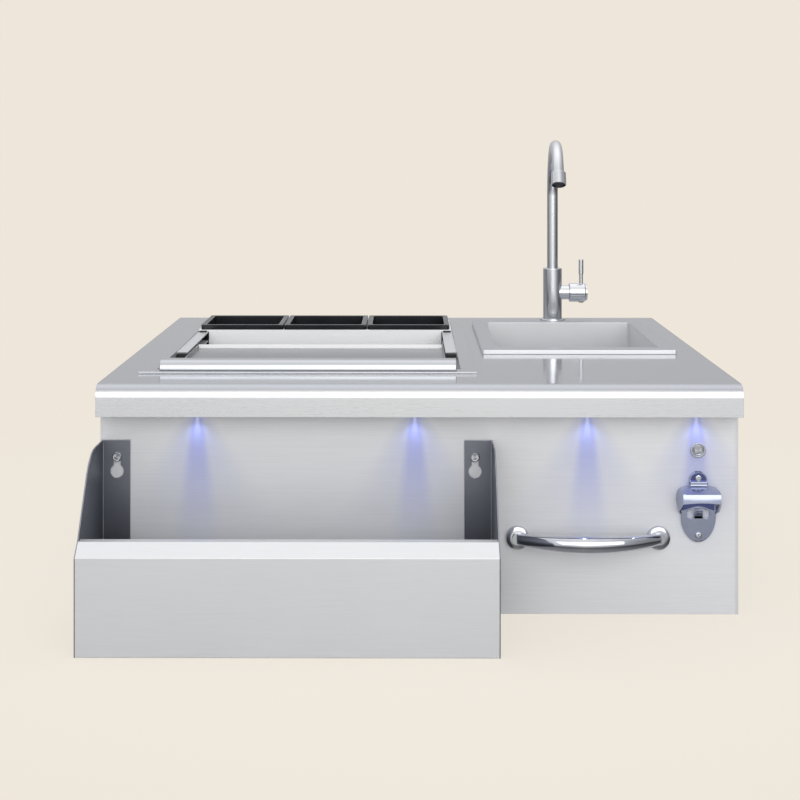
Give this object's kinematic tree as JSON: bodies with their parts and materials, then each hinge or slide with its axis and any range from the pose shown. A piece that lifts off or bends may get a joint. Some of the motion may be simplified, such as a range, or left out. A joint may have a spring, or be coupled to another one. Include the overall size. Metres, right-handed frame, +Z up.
{
  "type": "bar sink with ice bin",
  "caption": "Sheet steel bar centre with a lidded ice bin, condiment trays, a sink with a gooseneck tap, a bottle rail, a towel bar and a bottle opener.",
  "frame": {"origin": "centre of the case's base", "axes": "+X to the right, +Y to the back, +Z up"},
  "size_m": [0.762, 0.785, 0.565],
  "materials": {
    "deck_top": "satin",
    "front_panel": "brushed",
    "left_side_panel": "brushed",
    "right_side_panel": "brushed",
    "back_panel": "brushed",
    "bottom_panel": "brushed",
    "rail_studs": "brushed",
    "stud_nuts": "brushed",
    "light_housings": "matte",
    "light_lenses": "clear",
    "button_bezel": "polished",
    "button_nut": "machined",
    "light_button": "polished",
    "power_inlet": "matte",
    "bottle_rail": "brushed",
    "towel_bar": "polished",
    "towel_bar_rosettes": "polished",
    "towel_bar_screws": "brushed",
    "bottle_opener": "polished",
    "opener_screws": "brushed",
    "ice_bin_liner": "brushed",
    "ice_bin_insulation": "foam",
    "ice_bin_shell": "brushed",
    "ice_drain_fitting": "matte",
    "ice_drain_nut": "matte",
    "ice_drain_plug": "matte",
    "left_guide_rail": "brushed",
    "right_guide_rail": "brushed",
    "ice_lid": "brushed",
    "lid_runners": "matte",
    "caddy": "brushed",
    "caddy_feet": "matte",
    "caddy_ledge": "brushed",
    "tray_left": "gloss",
    "tray_middle": "gloss",
    "tray_right": "gloss",
    "sink_bowl": "brushed",
    "sink_clips": "brushed",
    "sink_drain_cup": "brushed",
    "sink_drain_gasket": "matte",
    "sink_drain_nut": "matte",
    "sink_drain_tail": "polished",
    "sink_tail_nut": "polished",
    "sink_strainer": "brushed",
    "tap_base_flange": "brushed",
    "tap_body": "brushed",
    "tap_cartridge": "matte",
    "tap_spindle": "machined",
    "tap_shank": "machined",
    "tap_washer": "matte",
    "tap_nut": "machined",
    "tap_spout": "brushed",
    "spout_bush": "matte",
    "spout_aerator": "brushed",
    "tap_lever_hub": "brushed",
    "tap_lever_rod": "brushed",
    "tap_set_screw": "brushed"
  },
  "bodies": {
    "case": {"deck_top": "deck_top", "front_panel": "front_panel", "left_side_panel": "left_side_panel", "right_side_panel": "right_side_panel", "back_panel": "back_panel", "bottom_panel": "bottom_panel", "rail_studs": "rail_studs", "stud_nuts": "stud_nuts", "light_housings": "light_housings", "light_lenses": "light_lenses", "button_bezel": "button_bezel", "button_nut": "button_nut", "power_inlet": "power_inlet", "towel_bar": "towel_bar", "towel_bar_rosettes": "towel_bar_rosettes", "towel_bar_screws": "towel_bar_screws", "bottle_opener": "bottle_opener", "opener_screws": "opener_screws", "ice_bin_liner": "ice_bin_liner", "ice_bin_insulation": "ice_bin_insulation", "ice_bin_shell": "ice_bin_shell", "ice_drain_fitting": "ice_drain_fitting", "ice_drain_nut": "ice_drain_nut", "left_guide_rail": "left_guide_rail", "right_guide_rail": "right_guide_rail", "caddy_ledge": "caddy_ledge", "sink_bowl": "sink_bowl", "sink_clips": "sink_clips", "sink_drain_cup": "sink_drain_cup", "sink_drain_gasket": "sink_drain_gasket", "sink_drain_nut": "sink_drain_nut", "sink_drain_tail": "sink_drain_tail", "sink_tail_nut": "sink_tail_nut", "tap_base_flange": "tap_base_flange", "tap_body": "tap_body", "tap_cartridge": "tap_cartridge", "tap_shank": "tap_shank", "tap_washer": "tap_washer", "tap_nut": "tap_nut", "spout_bush": "spout_bush"},
    "rail": {"bottle_rail": "bottle_rail"},
    "button": {"light_button": "light_button"},
    "ice_plug": {"ice_drain_plug": "ice_drain_plug"},
    "lid": {"ice_lid": "ice_lid", "lid_runners": "lid_runners"},
    "caddy": {"caddy": "caddy", "caddy_feet": "caddy_feet"},
    "left_tray": {"tray_left": "tray_left"},
    "middle_tray": {"tray_middle": "tray_middle"},
    "right_tray": {"tray_right": "tray_right"},
    "strainer": {"sink_strainer": "sink_strainer"},
    "spout": {"tap_spout": "tap_spout", "spout_aerator": "spout_aerator"},
    "lever": {"tap_lever_hub": "tap_lever_hub", "tap_lever_rod": "tap_lever_rod", "tap_set_screw": "tap_set_screw", "tap_spindle": "tap_spindle"}
  },
  "joints": [
    {"name": "rail_lift", "type": "slide", "parent": "case", "child": "rail", "axis": [0, 0, 1], "range_m": [0, 0.0173]},
    {"name": "light_button_press", "type": "slide", "parent": "case", "child": "button", "axis": [0, 1, 0], "range_m": [0, 0.0016], "stiffness_N_per_m": 600, "springref_m": -0.001},
    {"name": "ice_plug_lift", "type": "slide", "parent": "case", "child": "ice_plug", "axis": [0, 0, 1], "range_m": [0, 0.08]},
    {"name": "lid_slide", "type": "slide", "parent": "case", "child": "lid", "axis": [0, 1, 0], "range_m": [0, 0.115]},
    {"name": "caddy_lift", "type": "slide", "parent": "case", "child": "caddy", "axis": [0, 0, 1], "range_m": [0, 0.08]},
    {"name": "left_tray_lift", "type": "slide", "parent": "caddy", "child": "left_tray", "axis": [0, 0, 1], "range_m": [0, 0.08]},
    {"name": "middle_tray_lift", "type": "slide", "parent": "caddy", "child": "middle_tray", "axis": [0, 0, 1], "range_m": [0, 0.08]},
    {"name": "right_tray_lift", "type": "slide", "parent": "caddy", "child": "right_tray", "axis": [0, 0, 1], "range_m": [0, 0.08]},
    {"name": "strainer_lift", "type": "slide", "parent": "case", "child": "strainer", "axis": [0, 0, 1], "range_m": [0, 0.08]},
    {"name": "spout_swivel", "type": "hinge", "parent": "case", "child": "spout", "pos_m": [0.218, 0.28675, 0.345], "axis": [0, 0, 1], "range_deg": [-120, 120]},
    {"name": "tap_lever_turn", "type": "hinge", "parent": "case", "child": "lever", "pos_m": [0.2585, 0.28675, 0.322], "axis": [1, 0, 0], "range_deg": [0, 90]}
  ]
}
